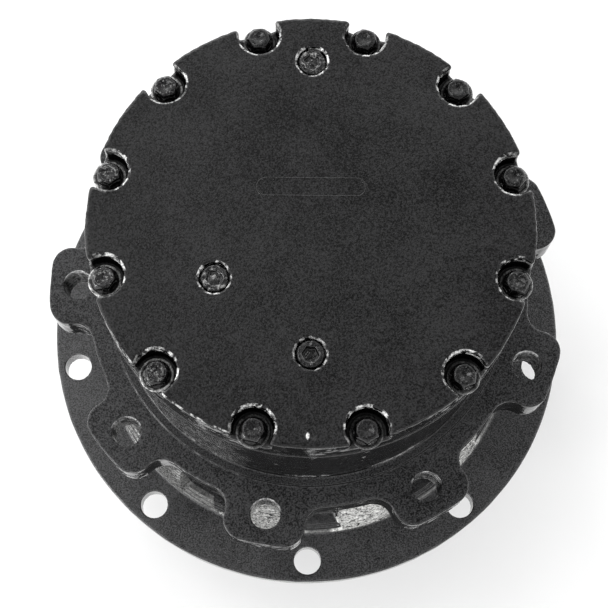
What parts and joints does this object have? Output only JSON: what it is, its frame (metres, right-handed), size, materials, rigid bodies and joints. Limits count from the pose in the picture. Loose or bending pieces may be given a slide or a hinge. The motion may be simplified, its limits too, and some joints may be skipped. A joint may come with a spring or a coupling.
{
  "type": "hydraulic drive motor",
  "caption": "Track drive motor: a hub with a lobed sprocket flange turns on a flanged hollow spindle, with rotor motor, parking brake and planetary gears inside.",
  "frame": {"origin": "centre of the frame mounting face, the underside of the large flange, on the turning axis", "axes": "+Z along the turning axis from the frame mounting face towards the end cover; the two work ports face -Y"},
  "size_m": [0.34, 0.34, 0.3359],
  "materials": {
    "housing_paint": "semi-gloss black paint over a rough casting",
    "hub_paint": "semi-gloss black paint over a casting",
    "cover_paint": "semi-gloss black paint with a fine orange peel",
    "cap_paint": "semi-gloss black paint",
    "painted_bolt": "painted over with the cover",
    "zinc": "zinc plated",
    "bolt_steel": "black oxide",
    "spring_steel": "oiled",
    "machined_steel": "turned",
    "ground_steel": "ground",
    "bearing_steel": "polished",
    "gear_steel": "hardened and ground",
    "bronze": "satin",
    "seal_rubber": "matt"
  },
  "bodies": {
    "housing": {"frame_housing": "housing_paint", "end_cap": "cap_paint", "end_cap_bolts": "zinc", "end_cap_seal": "seal_rubber", "relief_valves": "zinc", "spool_plugs": "zinc", "spool_springs": "spring_steel", "port_plate": "bronze", "eccentric_ring": "machined_steel", "pressure_plate": "bronze", "shaft_bearing_outer": "bearing_steel", "shaft_seal": "seal_rubber", "brake_plates": "machined_steel", "brake_springs": "spring_steel", "brake_cap": "machined_steel", "retaining_rings": "spring_steel", "lower_inner_race": "bearing_steel", "upper_inner_race": "bearing_steel", "bearing_shim": "ground_steel", "seal_ring_fixed": "ground_steel", "toric_ring_fixed": "seal_rubber", "planet_carrier": "machined_steel", "carrier_bolts": "bolt_steel", "output_pins": "ground_steel"},
    "turning_hub": {"hub": "hub_paint", "ring_gear": "gear_steel", "ring_gear_pins": "ground_steel", "cover": "cover_paint", "cover_bolts": "painted_bolt", "cover_seal": "seal_rubber", "socket_plugs": "painted_bolt", "plug_seals": "bronze", "thrust_pad": "ground_steel", "lower_outer_race": "bearing_steel", "upper_outer_race": "bearing_steel", "seal_ring_turning": "ground_steel", "toric_ring_turning": "seal_rubber"},
    "lower_ball_set": {"lower_cage": "bronze", "lower_balls": "bearing_steel"},
    "upper_ball_set": {"upper_cage": "bronze", "upper_balls": "bearing_steel"},
    "output_gear_1": {"output_planet_1": "gear_steel"},
    "output_gear_2": {"output_planet_2": "gear_steel"},
    "output_gear_3": {"output_planet_3": "gear_steel"},
    "carrier_and_sun": {"input_carrier": "machined_steel", "input_pins": "ground_steel", "output_sun": "gear_steel"},
    "input_gear_1": {"input_planet_1": "gear_steel"},
    "input_gear_2": {"input_planet_2": "gear_steel"},
    "input_gear_3": {"input_planet_3": "gear_steel"},
    "shaft": {"drive_shaft": "machined_steel", "inner_rotor": "ground_steel", "friction_discs": "bronze", "input_sun": "gear_steel", "shaft_bearing_inner": "bearing_steel"},
    "shaft_ball_set": {"shaft_bearing_balls": "bearing_steel"},
    "rotor_ring": {"outer_rotor": "ground_steel"},
    "piston": {"brake_piston": "machined_steel", "piston_seals": "seal_rubber"},
    "spool": {"valve_spool": "ground_steel"}
  },
  "joints": [
    {"name": "hub_spin", "type": "hinge", "parent": "housing", "child": "turning_hub", "pos_m": [0, 0, 0.1], "axis": [0, 0, 1], "continuous": true},
    {"name": "lower_cage_spin", "type": "hinge", "parent": "housing", "child": "lower_ball_set", "pos_m": [0, 0, 0.09], "axis": [0, 0, 1], "continuous": true},
    {"name": "upper_cage_spin", "type": "hinge", "parent": "housing", "child": "upper_ball_set", "pos_m": [0, 0, 0.118], "axis": [0, 0, 1], "continuous": true},
    {"name": "output_gear_1_spin", "type": "hinge", "parent": "housing", "child": "output_gear_1", "pos_m": [0, 0.0585, 0.156], "axis": [0, 0, 1], "continuous": true},
    {"name": "output_gear_2_spin", "type": "hinge", "parent": "housing", "child": "output_gear_2", "pos_m": [-0.05066, -0.02925, 0.156], "axis": [0, 0, 1], "continuous": true},
    {"name": "output_gear_3_spin", "type": "hinge", "parent": "housing", "child": "output_gear_3", "pos_m": [0.05066, -0.02925, 0.156], "axis": [0, 0, 1], "continuous": true},
    {"name": "carrier_spin", "type": "hinge", "parent": "housing", "child": "carrier_and_sun", "pos_m": [0, 0, 0.17], "axis": [0, 0, 1], "continuous": true},
    {"name": "input_gear_1_spin", "type": "hinge", "parent": "carrier_and_sun", "child": "input_gear_1", "pos_m": [0, 0.054, 0.19255], "axis": [0, 0, 1], "continuous": true},
    {"name": "input_gear_2_spin", "type": "hinge", "parent": "carrier_and_sun", "child": "input_gear_2", "pos_m": [-0.04677, -0.027, 0.19255], "axis": [0, 0, 1], "continuous": true},
    {"name": "input_gear_3_spin", "type": "hinge", "parent": "carrier_and_sun", "child": "input_gear_3", "pos_m": [0.04677, -0.027, 0.19255], "axis": [0, 0, 1], "continuous": true},
    {"name": "shaft_spin", "type": "hinge", "parent": "housing", "child": "shaft", "pos_m": [0, 0, 0.07], "axis": [0, 0, 1], "continuous": true},
    {"name": "shaft_balls_spin", "type": "hinge", "parent": "housing", "child": "shaft_ball_set", "pos_m": [0, 0, -0.0095], "axis": [0, 0, 1], "continuous": true},
    {"name": "rotor_ring_spin", "type": "hinge", "parent": "housing", "child": "rotor_ring", "pos_m": [-0.004, 0, -0.039], "axis": [0, 0, 1], "continuous": true},
    {"name": "brake_release", "type": "slide", "parent": "housing", "child": "piston", "axis": [0, 0, 1], "range_m": [0, 0.002], "deforming": ["brake_springs"]},
    {"name": "spool_shift", "type": "slide", "parent": "housing", "child": "spool", "axis": [1, 0, 0], "range_m": [-0.004, 0.004], "deforming": ["spool_springs"]}
  ],
  "couplings": [
    {"joint": "lower_cage_spin", "follows": "hub_spin", "ratio": 0.53529},
    {"joint": "upper_cage_spin", "follows": "hub_spin", "ratio": 0.53529},
    {"joint": "output_gear_1_spin", "follows": "hub_spin", "ratio": 2.8571},
    {"joint": "output_gear_2_spin", "follows": "hub_spin", "ratio": 2.8571},
    {"joint": "output_gear_3_spin", "follows": "hub_spin", "ratio": 2.8571},
    {"joint": "carrier_spin", "follows": "hub_spin", "ratio": -3.3333},
    {"joint": "input_gear_1_spin", "follows": "hub_spin", "ratio": 10.833},
    {"joint": "input_gear_2_spin", "follows": "hub_spin", "ratio": 10.833},
    {"joint": "input_gear_3_spin", "follows": "hub_spin", "ratio": 10.833},
    {"joint": "shaft_spin", "follows": "hub_spin", "ratio": -25},
    {"joint": "shaft_balls_spin", "follows": "hub_spin", "ratio": -9.9299},
    {"joint": "rotor_ring_spin", "follows": "hub_spin", "ratio": -21.429}
  ]
}
